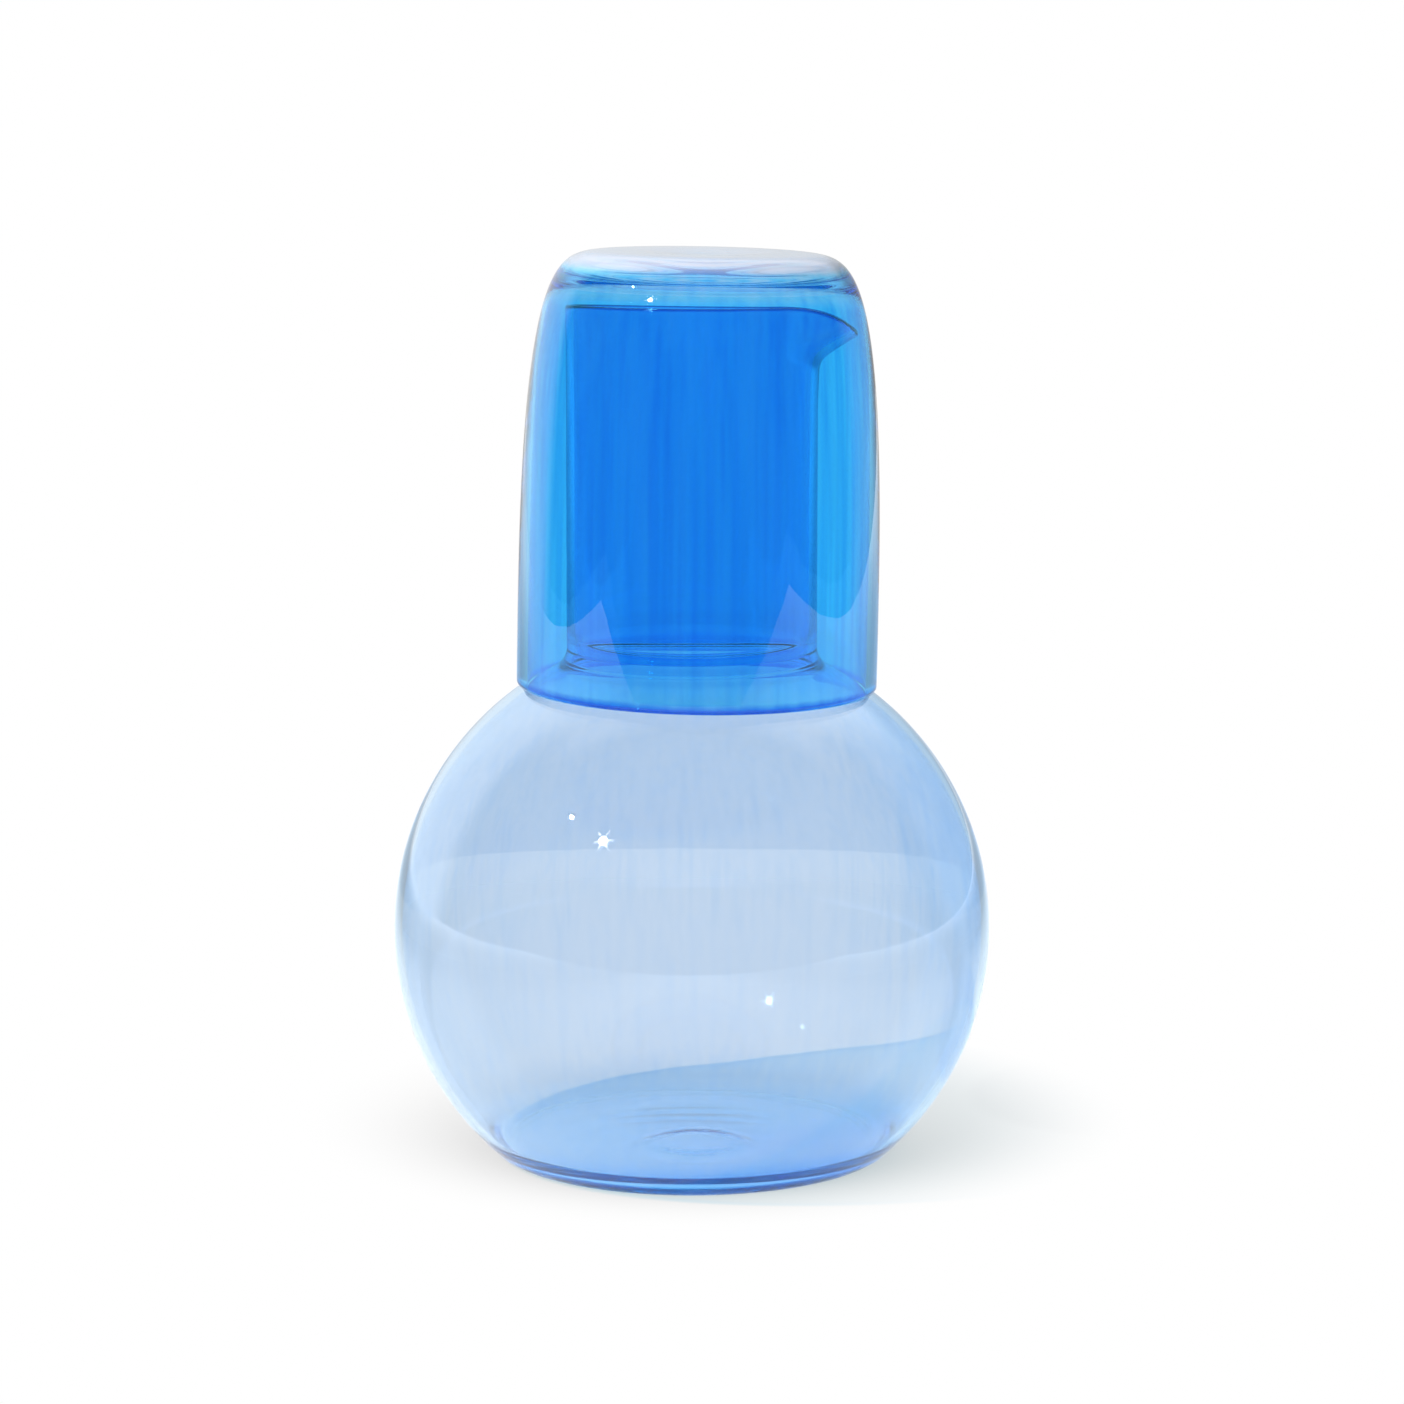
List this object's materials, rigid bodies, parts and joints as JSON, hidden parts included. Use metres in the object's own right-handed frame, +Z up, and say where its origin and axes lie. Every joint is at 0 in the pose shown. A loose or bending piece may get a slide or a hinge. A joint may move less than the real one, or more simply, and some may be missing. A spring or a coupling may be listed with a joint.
{
  "type": "bedside carafe with tumbler",
  "caption": "Round glass water carafe with a straight spouted neck, covered by an upturned glass tumbler that fits over the neck and rests on the bulb's shoulder.",
  "frame": {"origin": "middle of the carafe's base, on the surface that it stands on", "axes": "+Z up along the neck, +X out along the spout, +Y to the spout's left"},
  "size_m": [0.1359, 0.136, 0.206],
  "materials": {
    "carafe_glass": "pale sky-blue glass, clear and glossy, fire-polished rim",
    "tumbler_glass": "deep azure glass, clear and glossy, fire-polished rim"
  },
  "bodies": {
    "carafe": {"carafe": "carafe_glass"},
    "tumbler": {"tumbler": "tumbler_glass"}
  },
  "joints": [
    {"name": "tumbler_lift", "type": "slide", "parent": "carafe", "child": "tumbler", "axis": [0.0192, -0.0175, 0.9997], "range_m": [0, 0.1]}
  ]
}
